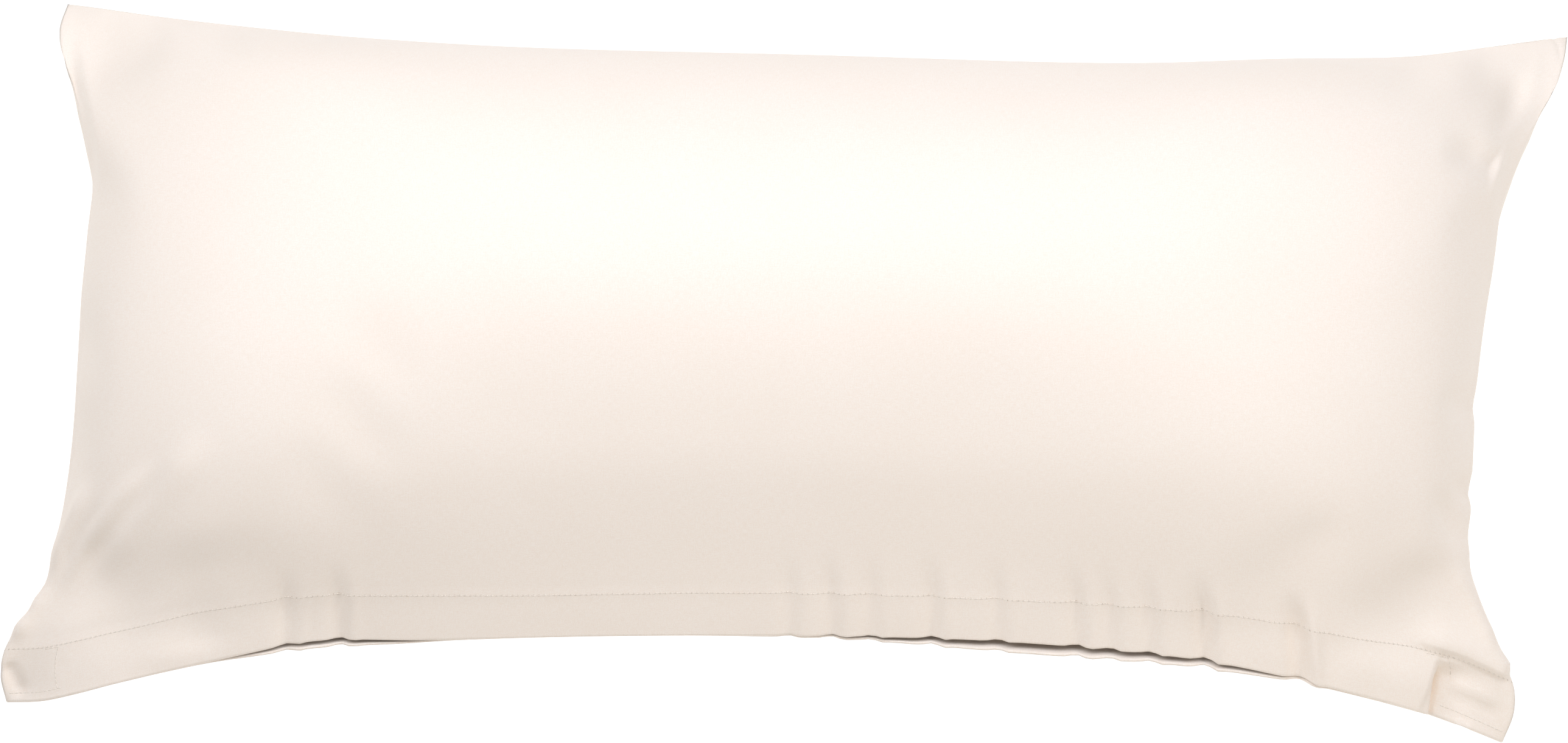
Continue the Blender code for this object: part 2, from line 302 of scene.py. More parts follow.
# --- Finishes ---
@dataclass(frozen=True)
class SatinFinish:
    """Mercerised cotton satin, cream, woven four-over-one.

    The weft floats over four warp threads, which gives the face its soft lustre and its
    fine, slightly uneven grain. The threads lie about 0.2 mm apart. That is finer than a
    pixel, so the grain is drawn 0.6 mm wide, as coarse as it needs to show.
    """

    name: str = "cream_mercerised_cotton_satin"
    pale: str = "#FBF1E6"
    deep: str = "#F7E9DB"
    shade: str = "#F2E2D1"
    # The needle holes' colour is painted shade: the darkness inside each hole.
    hole_shade: str = "#B5A28B"
    roughness: float = 0.58
    lustre: float = 0.5
    sheen: float = 0.02
    sheen_roughness: float = 0.4
    index: float = 1.5
    mottles_per_metre: float = 18.0
    mottle_span: tuple[float, float] = (0.35, 0.65)
    mottled: float = 0.10
    grain_mm: float = 0.6
    grain_span: tuple[float, float] = (1.4, 2.6)
    grain_bump: float = 0.30
    grain_deep: float = 0.00005
    slub_mm: float = 3.5
    pucker_mm: float = 5.5
    pucker_bump: float = 0.6
    pucker_deep: float = 0.0006
    hem_pucker_reach: float = 0.0060
    side_pucker_reach: float = 0.0120
    stitch_mm: float = 2.7
    hole_half: tuple[float, float] = (0.0002, 0.0006)
    # Where a hole ends between two stitches, as the sine of its place, and how dark the painted
    # shade in it is.
    hole_ends: tuple[float, float] = (0.15, 0.45)
    hole_shade_strength: float = 0.65
    hole_bump: float = 0.6
    hole_deep: float = 0.0003
    hem_mm: float = 30.0
    width: float = 0.8
    length: float = 0.8

    def material(self) -> bpy.types.Material:
        """Make the cloth's material, laid out on the flat cloth in metres."""
        made, nodes = new_material(self.name)
        cloth = nodes.add("UVMap", uv_map="flat_cloth").outputs["UV"]
        grain = self._threads(nodes, cloth)
        mottle = nodes.add("TexNoise", {"Vector": cloth, "Scale": self.mottles_per_metre,
                                        "Detail": 3.0}).outputs["Fac"]
        shaded_holes = self._shaded_needle_holes(nodes, cloth)
        tone = nodes.blend(grain, linear(self.deep), linear(self.pale))
        soft = nodes.span(mottle, *self.mottle_span, 0.0, self.mottled)
        toned = nodes.blend(soft, tone, linear(self.shade))
        nodes.surface({
            # The needle holes are darkened with painted shade.
            "Base Color": nodes.blend(shaded_holes, toned, linear(self.hole_shade)),
            "Roughness": self.roughness, "Normal": self._relief(nodes, cloth, grain, shaded_holes),
            "IOR": self.index, "Specular IOR Level": self.lustre,
            "Sheen Weight": self.sheen, "Sheen Roughness": self.sheen_roughness})
        return made

    def _threads(self, nodes: Nodes, cloth: Socket) -> Socket:
        """The grain: threads along both sides of the cloth, each of uneven thickness."""
        fine = 1.0 / (self.grain_mm * MM)
        long = 1.0 / (self.slub_mm * MM)
        both = nodes.math("ADD", *(nodes.streaks(cloth, scale, 0.4)
                                   for scale in ((fine, long, 1.0), (long, fine, 1.0))))
        speck = nodes.add("TexNoise", {"Vector": cloth, "Scale": fine, "Detail": 1.0},
                          noise_dimensions="2D").outputs["Fac"]
        return nodes.span(nodes.math("MULTIPLY_ADD", speck, 2.0, both), *self.grain_span)

    def _nearer(self, nodes: Nodes, place: Socket, lines: Sequence[float]) -> Socket:
        """How far a coordinate of the cloth is from the nearer of two lines, in metres."""
        return nodes.math("MINIMUM", *(
            nodes.math("ABSOLUTE", nodes.math("SUBTRACT", place, line)) for line in lines))

    def _hem_distance(self, nodes: Nodes, along: Socket) -> Socket:
        """How far a place is from the nearer hem's stitching, in metres."""
        return self._nearer(nodes, along, (self.hem_mm * MM, self.length - self.hem_mm * MM))

    def _shaded_needle_holes(self, nodes: Nodes, cloth: Socket) -> Socket:
        """Needle holes, one for each stitch of the hems' lines: a mask for the painted shade in
        them and for their dents.
        """
        parts = nodes.add("SeparateXYZ", {0: cloth}).outputs
        near = nodes.span(self._hem_distance(nodes, parts[1]), *self.hole_half, 1.0, 0.0)
        turn = nodes.math("MULTIPLY", parts[0], math.pi / (self.stitch_mm * MM))
        size = nodes.math("ABSOLUTE", nodes.math("SINE", turn))
        hole_shade = nodes.span(size, *self.hole_ends, self.hole_shade_strength, 0.0)
        return nodes.math("MULTIPLY", near, hole_shade)

    def _relief(self, nodes: Nodes, cloth: Socket, grain: Socket, shaded_holes: Socket) -> Socket:
        """The cloth's bumps: grain, and puckers along the hems' lines and the side seams."""
        parts = nodes.add("SeparateXYZ", {0: cloth}).outputs
        normal = nodes.bump(grain, self.grain_bump, self.grain_deep)
        pucker = 1.0 / (self.pucker_mm * MM)
        for distance, reach, scale in (
                (self._hem_distance(nodes, parts[1]), self.hem_pucker_reach,
                 (pucker, 0.25 * pucker, 1.0)),
                (self._nearer(nodes, parts[0], (0.0, self.width)), self.side_pucker_reach,
                 (0.2 * pucker, pucker, 1.0))):
            near = nodes.span(distance, 0.0, reach, 1.0, 0.0)
            height = nodes.math("MULTIPLY", near, nodes.streaks(cloth, scale))
            normal = nodes.bump(height, self.pucker_bump, self.pucker_deep, normal)
        return nodes.bump(shaded_holes, self.hole_bump, self.hole_deep, normal, invert=True)


@dataclass(frozen=True)
class ThreadFinish:
    """Three-ply spun polyester sewing thread, dyed to the cloth: matt, with twisted plies."""

    name: str = "cream_sewing_thread"
    colour: str = "#F6EEE5"
    # Painted shade in the hollows between the plies.
    ply_hollow_shade: str = "#E2D5C5"
    ply_mm: float = 0.35
    ply_bump: float = 0.5
    ply_deep: float = 0.00008
    roughness: float = 0.7
    # A wave texture's band is this many metres wide at a scale of 1.
    band: float = 0.314

    def material(self) -> bpy.types.Material:
        """Make the thread's material, with its plies as fine slanting bands and painted shade in
        the hollows between them.
        """
        made, nodes = new_material(self.name)
        plies = nodes.add("TexWave", {
            "Vector": nodes.add("TexCoord").outputs["Object"],
            "Scale": self.band / (self.ply_mm * MM), "Distortion": 1.0},
            bands_direction="DIAGONAL").outputs["Fac"]
        nodes.surface({
            "Base Color": nodes.blend(plies, linear(self.ply_hollow_shade), linear(self.colour)),
            "Roughness": self.roughness,
            "Normal": nodes.bump(plies, self.ply_bump, self.ply_deep)})
        return made


@dataclass(frozen=True)
class FloorFinish:
    """Opal acrylic sheet lit from below, as on a photographer's light table: no shadows."""

    name: str = "lit_opal_acrylic"
    colour: str = "#959595"
    roughness: float = 0.9
    shine: float = 0.1
    glow: float = 1.0
    far_glow: float = 0.15
    lit_width: float = 0.57
    dim_width: float = 1.10
    narrowness: float = 1.9

    def material(self) -> bpy.types.Material:
        """Make the acrylic's material: lit in an ellipse round the case, dim far from it."""
        made, nodes = new_material(self.name)
        place = nodes.add("TexCoord").outputs["Object"]
        shaped = nodes.add("VectorMath", {0: place, 1: (1.0, self.narrowness, 0.0)},
                           operation="MULTIPLY").outputs[0]
        away = nodes.add("VectorMath", {0: shaped}, operation="LENGTH").outputs["Value"]
        nodes.surface({
            "Base Color": linear(self.colour), "Roughness": self.roughness,
            "Specular IOR Level": self.shine, "Emission Color": linear("#FFFFFF"),
            "Emission Strength": nodes.span(away, self.lit_width, self.dim_width, self.glow,
                                            self.far_glow, interpolation_type="SMOOTHSTEP")})
        return made


# --- The case's shape ---
class Corner(NamedTuple):
    """A corner of the outline, how far from it the filling fades out, and how low it hangs."""

    x: float
    y: float
    reach: float
    droop: float

    @property
    def place(self) -> Array:
        """The corner's place in plan."""
        return np.array((self.x, self.y))


@dataclass(frozen=True)
class CaseShape:
    """The filled case's outline, section and hems, as smooth surfaces over the flat cloth."""

    width: float = 0.800
    height: float = 0.400
    seam_height: float = 0.084
    crown_rise: float = 0.094
    belly_depth: float = 0.120
    belly_settle: float = 0.012
    end_power: float = 3.2
    # Shares of the way to an end, from the middle, over which its own section takes over.
    end_section_from: float = 0.25
    end_section_full: float = 0.85
    ear_length: float = 0.070
    cloth_half: float = 0.0008
    hem_thick: float = 0.0011
    mouth_gap: float = 0.0008
    # The slit reaches its full height over this share of the width, from each sewn box.
    gap_rise: float = 0.16
    hem_droop: float = 0.002
    hem_line: float = 0.030
    # Shares of the height, up from the mouth: the hem's own, and where its thickness ends.
    hem_share: float = 0.10
    thick_to: float = 0.22
    # Heights between which the hem's own depth gives way to the panel's.
    hem_fades: tuple[float, float] = (0.034, 0.100)
    seam_round: float = 0.004
    box_left: float = 0.055
    box_right: float = 0.945
    top_left: Corner = Corner(-0.3852, 0.1964, 0.080, 0.035)
    top_right: Corner = Corner(0.4120, 0.1786, 0.085, 0.035)
    mouth_left: Corner = Corner(-0.4110, -0.1751, 0.105, 0.046)
    mouth_right: Corner = Corner(0.3712, -0.1964, 0.105, 0.046)
    # How far each edge is drawn in from the straight line between its corners.
    top_fold: tuple[At, ...] = curve(
        (0.0, 0.0), (0.06, 0.0094), (0.12, 0.0160), (0.20, 0.0220), (0.32, 0.0262),
        (0.50, 0.0269), (0.69, 0.0278), (0.81, 0.0223), (0.89, 0.0185), (0.945, 0.0104),
        (1.0, 0.0))
    left_seam: tuple[At, ...] = curve(
        (0.0, 0.0), (0.035, -0.0032), (0.075, -0.0002), (0.13, 0.0136), (0.20, 0.0222),
        (0.35, 0.0272), (0.55, 0.0257), (0.70, 0.0241), (0.80, 0.0138), (0.91, 0.0007),
        (0.96, -0.0021), (1.0, 0.0))
    right_seam: tuple[At, ...] = curve(
        (0.0, 0.0), (0.04, -0.0035), (0.08, -0.0003), (0.14, 0.0160), (0.20, 0.0268),
        (0.30, 0.0308), (0.50, 0.0340), (0.69, 0.0286), (0.80, 0.0180), (0.91, 0.0040),
        (0.96, 0.0010), (1.0, 0.0))
    mouth_edge: tuple[At, ...] = curve(
        (0.0, 0.0), (0.03, 0.0002), (0.08, 0.0087), (0.16, 0.0230), (0.21, 0.0310),
        (0.28, 0.0326), (0.41, 0.0373), (0.53, 0.0399), (0.64, 0.0403), (0.73, 0.0374),
        (0.80, 0.0328), (0.87, 0.0236), (0.95, 0.0108), (1.0, 0.0))
    # The body's section from the mouth's edge to the fold, as shares of the full crown.
    section: tuple[At, ...] = curve(
        (0.0, 0.0), (0.05, 0.105), (0.10, 0.215), (0.20, 0.470), (0.30, 0.715), (0.42, 0.910),
        (0.54, 1.000), (0.66, 0.985), (0.77, 0.900), (0.87, 0.735), (0.94, 0.530), (0.98, 0.310),
        (1.0, 0.0))
    # The same at the two ends, where the body is full almost down to the mouth.
    end_section: tuple[At, ...] = curve(
        (0.0, 0.0), (0.05, 0.150), (0.10, 0.335), (0.20, 0.700), (0.30, 0.905), (0.42, 0.990),
        (0.54, 1.000), (0.66, 0.985), (0.77, 0.910), (0.87, 0.750), (0.94, 0.540), (0.98, 0.315),
        (1.0, 0.0))
    # How far the back hem's edge stands out past the front hem's.
    back_shows: tuple[At, ...] = curve(
        (0.0, 0.0), (0.13, 0.0), (0.21, 0.0035), (0.31, 0.0), (0.53, 0.0005), (0.67, 0.0052),
        (0.80, 0.0036), (0.88, 0.0005), (1.0, 0.0))
    # The hem's depth along the mouth.
    hem_depth: tuple[At, ...] = curve(
        (0.0, 0.0265), (0.05, 0.0280), (0.12, 0.0295), (0.22, 0.0300), (0.45, 0.0300),
        (0.70, 0.0302), (0.83, 0.0308), (0.90, 0.0328), (0.96, 0.0335), (1.0, 0.0305))

    # How finely the surface is measured to spread the cloth evenly over it.
    measured_lines: int = 601
    measured_levels: int = 61

    def _edge(self, start: Corner, end: Corner, table: Sequence[At], shares: Array,
              side: float) -> Array:
        """Points of one edge: on the line between two corners, drawn in to one side."""
        along = end.place - start.place
        across = np.array((-along[1], along[0])) / np.linalg.norm(along) * side
        inward = read_along(table, shares)
        return start.place + shares[..., None] * along + inward[..., None] * across

    def plan(self, across: Array, up: Array) -> Array:
        """Plan places in the panels, across from the left and up from the mouth.

        Args:
            across: Shares of the width, in a shape that broadcasts with up.
            up: Shares of the way from the mouth's edge to the fold.

        Returns:
            An array of x and y.
        """
        bottom = self._edge(self.mouth_left, self.mouth_right, self.mouth_edge, across, 1.0)
        top = self._edge(self.top_left, self.top_right, self.top_fold, across, -1.0)
        left = self._edge(self.mouth_left, self.top_left, self.left_seam, up, -1.0)
        right = self._edge(self.mouth_right, self.top_right, self.right_seam, up, 1.0)
        a, u = across[..., None], up[..., None]
        flat = ((self.mouth_left.place * (1 - a) + self.mouth_right.place * a) * (1 - u)
                + (self.top_left.place * (1 - a) + self.top_right.place * a) * u)
        return bottom * (1 - u) + top * u + left * (1 - a) + right * a - flat

    def ears(self, plan: Array) -> Pair:
        """How much each place belongs to one of the four ears, and how low it hangs.

        Args:
            plan: Places in plan.

        Returns:
            Shares, 1 at a corner's tip, and drops in metres.
        """
        shares, drops = [], []
        for corner in (self.top_left, self.top_right, self.mouth_left, self.mouth_right):
            away = length(plan - corner.place)
            shares.append(bell(away, corner.reach))
            drops.append(np.exp(-away / self.ear_length) * corner.droop)
        return np.max(shares, axis=0), np.sum(drops, axis=0)

    def gap(self, across: Array) -> Array:
        """The open slit's height along the mouth: none at the sewn boxes."""
        inside = np.minimum(across - self.box_left, self.box_right - across)
        return self.mouth_gap * np.sin(0.5 * np.pi * share_of(inside / self.gap_rise))

    def surfaces(self, across: Array, up: Array) -> Pair:
        """The front's and the back's points before the cloth settles.

        Args:
            across: Shares of the width.
            up: Shares of the way from the mouth's edge to the fold.

        Returns:
            The front's points and the back's.
        """
        plan = self.plan(across, up)
        ear, drop = self.ears(plan)
        aside = np.abs(2.0 * across - 1.0)
        ends = np.sqrt(share_of(1.0 - aside**self.end_power))
        near_end = ramp(aside, self.end_section_from, self.end_section_full)
        section = (read_along(self.section, up) * (1.0 - near_end)
                   + read_along(self.end_section, up) * near_end)
        filling = ends * section * (1.0 - ear)
        at_hem = share_of(1.0 - up / self.hem_share)
        middle = self.seam_height - drop - self.hem_droop * at_hem
        hems = self.hem_thick + 0.5 * self.gap(across)
        half = hems + (self.cloth_half - hems) * ramp(up, self.hem_share, self.thick_to)
        inside = np.min([length(plan - edge) for edge in (
            self.plan(np.zeros_like(across), up), self.plan(np.ones_like(across), up),
            self.plan(across, np.ones_like(up)))], axis=0)
        rounded = share_of(inside / self.seam_round)
        half = half * np.sqrt(1.0 - (1.0 - rounded) ** 2)
        top = middle + half + self.crown_rise * filling
        clear = np.maximum(middle - half - self.belly_depth * filling, 0.0)
        low = clear * (1.0 - bell(clear, self.belly_settle))
        out = read_along(self.back_shows, across) * at_hem
        front = np.dstack((plan, top))
        back = np.dstack((plan[..., 0], plan[..., 1] - out, low))
        return front, back

    def spread(self, across: Array, up: Array) -> Pair:
        """Turn shares of the flat cloth into shares of the plan, even along the surface.

        Args:
            across: Shares of the flat width, one for each column.
            up: Shares of the flat height, one for each row.

        Returns:
            Plan shares across and up, for each column and row.
        """
        fine = np.linspace(0.0, 1.0, self.measured_lines)
        middle = self.surfaces(np.full((1, fine.size), 0.5), fine[None])[0][0]
        depth = read_along(self.hem_depth, across)[:, None] / self.hem_line
        near_hem = 1.0 - ramp(up * self.height, *self.hem_fades)
        rows = np.interp(up[None] * (1.0 + (depth - 1.0) * near_hem), up,
                         even_shares(middle, up))
        levels = np.linspace(0.0, 1.0, self.measured_levels)
        front = self.surfaces(*np.broadcast_arrays(fine[:, None], levels[None]))[0]
        columns = np.stack([even_shares(front[:, level], across)
                            for level in range(levels.size)], axis=1)
        place = rows * (levels.size - 1)
        low = np.minimum(place.astype(int), levels.size - 2)
        below = np.take_along_axis(columns, low, axis=1)
        above = np.take_along_axis(columns, low + 1, axis=1)
        return below + (above - below) * (place - low), rows


def even_shares(line: Array, asked: Array) -> Array:
    """Find the places on a line that lie at even shares of its length.

    Args:
        line: Points of the line, at even steps of its own share from 0 to 1.
        asked: Shares of the line's length.

    Returns:
        The line's own share at each.
    """
    steps = length(np.diff(line, axis=0))
    run = np.concatenate(([0.0], np.cumsum(steps)))
    return np.interp(asked, run / run[-1], np.linspace(0.0, 1.0, len(line)))


class Run(NamedTuple):
    """A stretch of grid lines: where it ends on the flat cloth, and how many it takes."""

    end: float
    lines: int


def grid_lines(runs: Sequence[Run], size: float) -> Array:
    """Shares of the cloth at which the grid lines lie."""
    places = [0.0]
    for run in runs:
        start = places[-1]
        places += [start + (run.end - start) * (k + 1) / run.lines for k in range(run.lines)]
    return np.array(places) / size


def sewn_ids(shape: tuple[int, int]) -> tuple[Array, Array, Array]:
    """Number the points of two panels that are one along the side seams and the fold.

    Args:
        shape: Columns and rows of a panel's grid.

    Returns:
        The front's numbers, the back's, and which of the back's points are its own.
    """
    front = np.arange(shape[0] * shape[1]).reshape(shape)
    back, own = front.copy(), np.ones(shape, bool)
    own[0] = own[-1] = own[:, -1] = False
    back[own] = front.size + np.arange(own.sum())
    return front, back, own


# --- Settling the cloth ---
@dataclass(frozen=True)
class ClothSettling:
    """Blender's cloth solver on a coarse sheet: pressure fills it, the seams hold it."""

    columns: int = 110
    rows: int = 52
    frames: int = 20
    quality: int = 6
    pressure: float = 2.0
    slack: float = 0.05
    mass: float = 0.15
    stretch: float = 15.0
    shear: float = 5.0
    bending: float = 3.0
    damping: float = 5.0
    clearance: float = 0.001
    ground_size: float = 3.0
    # The cloth is slack but for its corners and, less so, its side seams: reaches in metres.
    corner_reach: tuple[float, float] = (0.10, 0.12)
    side_reach: float = 0.06
    side_taut: float = 0.25
    most: float = 0.010
    softening: int = 2

    def settle(self, shape: CaseShape) -> Pair:
        """Let the cloth settle and tell how far each place of it moves.

        Args:
            shape: The case's shape before settling.

        Returns:
            Moves of the front's and the back's points, on the coarse grid.
        """
        flat_across = np.linspace(0.0, 1.0, self.columns + 1)
        flat_up = np.linspace(0.0, 1.0, self.rows + 1)
        front, back = shape.surfaces(*shape.spread(flat_across, flat_up))
        front_ids, back_ids, own = sewn_ids(front.shape[:2])
        points = np.concatenate((front.reshape(-1, 3), back[own]))
        faces = grid_faces(front_ids) + grid_faces(back_ids[:, ::-1])
        sheet = new_object("settling_sheet", points, faces)
        self._dress(sheet, front_ids, back_ids, flat_across * shape.width,
                    flat_up * shape.height)
        settled = self._run(sheet)
        moved = settled - points
        far = length(moved, True)
        moved *= self.most * np.tanh(far / self.most) / np.maximum(far, 1e-9)
        bpy.data.objects.remove(sheet, do_unlink=True)
        return tuple(softened(moved[ids], self.softening) for ids in (front_ids, back_ids))

    def _dress(self, sheet: Object, front_ids: Array, back_ids: Array,
               along: Array, deep: Array) -> None:
        """Pin the seams, the fold and the hems' edges, and set the cloth's nature."""
        pins = sheet.vertex_groups.new(name="sewn")
        held = np.unique(np.concatenate((front_ids[0], front_ids[-1], front_ids[:, -1],
                                         front_ids[:, 0], back_ids[:, 0])))
        pins.add([int(index) for index in held], 1.0, "REPLACE")
        taut = sheet.vertex_groups.new(name="taut")
        from_side = np.minimum(along, along[-1] - along)[:, None]
        from_end = np.minimum(deep, deep[-1] - deep)[None]
        near = np.maximum(
            bell(from_side, self.corner_reach[0]) * bell(from_end, self.corner_reach[1]),
            self.side_taut * bell(from_side, self.side_reach))
        weights = share_of(1.0 - near)
        for ids in (front_ids, back_ids):
            for index, weight in zip(ids.ravel(), weights.ravel()):
                taut.add([int(index)], float(weight), "REPLACE")
        cloth = sheet.modifiers.new("cloth", "CLOTH")
        nature = cloth.settings
        nature.quality = self.quality
        nature.mass = self.mass
        nature.tension_stiffness = nature.compression_stiffness = self.stretch
        nature.shear_stiffness = self.shear
        nature.bending_stiffness = self.bending
        nature.tension_damping = nature.compression_damping = self.damping
        nature.shear_damping = self.damping
        nature.use_pressure = True
        nature.uniform_pressure_force = self.pressure
        nature.vertex_group_mass = pins.name
        nature.vertex_group_shrink = taut.name
        nature.shrink_min = -self.slack
        nature.shrink_max = 0.0
        nature.effector_weights.gravity = 0.0
        cloth.collision_settings.distance_min = self.clearance
        cloth.point_cache.frame_start = 1
        cloth.point_cache.frame_end = self.frames

    def _run(self, sheet: Object) -> Array:
        """Step the solver on a floor and read the settled points."""
        ground = add_plane(self.ground_size, -self.clearance)
        ground.modifiers.new("collision", "COLLISION")
        ground.collision.thickness_outer = self.clearance
        scene = bpy.context.scene
        scene.frame_start, scene.frame_end = 1, self.frames
        for number in range(1, self.frames + 1):
            scene.frame_set(number)
        posed = sheet.evaluated_get(bpy.context.evaluated_depsgraph_get())
        settled = coordinates(posed.data)
        scene.frame_set(1)
        bpy.data.objects.remove(ground, do_unlink=True)
        return settled


def softened(field: Array, times: int) -> Array:
    """Even out a grid of moves from neighbour to neighbour, its edges kept."""
    for _ in range(times):
        for axis in (0, 1):
            inner = np.moveaxis(field, axis, 0).copy()
            inner[1:-1] = 0.25 * inner[:-2] + 0.5 * inner[1:-1] + 0.25 * inner[2:]
            field = np.moveaxis(inner, 0, axis)
    return field


def grid_faces(ids: Array) -> list[tuple[int, ...]]:
    """Quads between the neighbouring points of a grid, repeated corners left out."""
    quads = np.stack((ids[:-1, :-1], ids[1:, :-1], ids[1:, 1:], ids[:-1, 1:]), axis=-1)
    return [tuple(dict.fromkeys(quad)) for quad in quads.reshape(-1, 4).tolist()]


def resample(field: Array, across: Array, up: Array) -> Array:
    """Read a coarse field of moves on a finer grid, on smooth curves both ways.

    Args:
        field: Moves on an even grid, columns by rows by three.
        across: Shares of the width to read at.
        up: Shares of the height to read at.

    Returns:
        The field at each pair of shares.
    """
    for axis, shares in enumerate((across, up)):
        count = field.shape[axis] - 1
        place = shares * count
        low = np.clip(np.floor(place).astype(int), 0, count - 1)
        t = (place - low).reshape((-1, 1, 1) if axis == 0 else (1, -1, 1))
        p0, p1, p2, p3 = (np.take(field, np.clip(low + k, 0, count), axis=axis)
                          for k in (-1, 0, 1, 2))
        field = 0.5 * (2 * p1 + (p2 - p0) * t + (2 * p0 - 5 * p1 + 4 * p2 - p3) * t**2
                       + (3 * p1 - p0 - 3 * p2 + p3) * t**3)
    return field


# --- Folds ---
class Form(Enum):
    """A fold's cross-section."""

    RIDGE = "ridge"
    TROUGH = "trough"
    STEP = "step"


@dataclass(frozen=True)
class Fold:
    """A soft fold of the front panel, along a path through the picture's pixels.

    A step lowers the side to the right of its path, as one looks along it, and fades out
    away from the path over its width. The other forms are as wide as width_mm each side.
    A step's drop is edge_mm wide. The fades are shares of the path's length.
    """

    form: Form
    path: tuple[tuple[float, float], ...]
    width_mm: float
    height_mm: float
    fade_in: float = 0.3
    fade_out: float = 0.3
    edge_mm: float = 1.0

    def lift(self, pixels: Array, pixel_size: float) -> Array:
        """How far the fold lifts each point, in metres.

        Args:
            pixels: The points' places in the picture.
            pixel_size: A pixel's size at the case, in metres.

        Returns:
            The lift of each point, below zero for a trough.
        """
        ends = np.array(self.path, float)
        spans = length(np.diff(ends, axis=0))
        total = spans.sum()
        best = np.full(len(pixels), np.inf)
        along = np.zeros(len(pixels))
        side = np.zeros(len(pixels))
        begun = 0.0
        for start, end, span in zip(ends[:-1], ends[1:], spans):
            way = (end - start) / span
            away = pixels - start
            run = np.clip(away @ way, 0.0, span)
            far = length(away - run[:, None] * way)
            nearer = far < best
            best = np.where(nearer, far, best)
            along = np.where(nearer, (begun + run) / total, along)
            side = np.where(nearer, way[0] * away[:, 1] - way[1] * away[:, 0], side)
            begun += span
        distance = best * pixel_size
        taper = ramp(along, 0.0, self.fade_in) * ramp(1.0 - along, 0.0, self.fade_out)
        size = self.height_mm * MM * taper * bell(distance, self.width_mm * MM)
        if self.form is Form.STEP:
            half_edge = 0.5 * self.edge_mm * MM
            size = size * ramp(np.sign(side) * distance, -half_edge, half_edge)
        return size if self.form is Form.RIDGE else -size


# A ripple's crest: pixels from its dip for each millimetre of the dip's width, and its
# height and its width as shares of the dip's.
CREST_ASIDE = 4.4
CREST_HEIGHT = 0.5
CREST_WIDTH = 0.6
# A ripple starts this many pixels above the stitching and ends this many below the edge.
RIPPLE_ENDS = (60.0, 25.0)


def hem_ripple(x: float, depth_mm: float, top: float, bottom: float,
               lean: float = 0.0, width_mm: float = 4.5) -> tuple[Fold, Fold]:
    """A soft ripple across the front hem: a dip, and a crest close to its right.

    Args:
        x: Where the dip crosses the hem's stitching, in pixels.
        depth_mm: The dip's depth.
        top: The stitching's height in the picture there.
        bottom: The hem edge's height in the picture there.
        lean: How far the ripple leans to the right towards the edge.
        width_mm: The dip's width each side.

    Returns:
        The dip and the crest.
    """
    above, below = RIPPLE_ENDS
    folds = []
    for form, aside, depth, width in (
            (Form.TROUGH, 0.0, depth_mm, width_mm),
            (Form.RIDGE, width_mm * CREST_ASIDE, CREST_HEIGHT * depth_mm,
             CREST_WIDTH * width_mm)):
        middle = x + aside
        path = ((middle - lean, top - above), (middle, top), (middle + lean, bottom + below))
        folds.append(Fold(form, path, width, depth, 0.5, 0.05))
    return folds[0], folds[1]


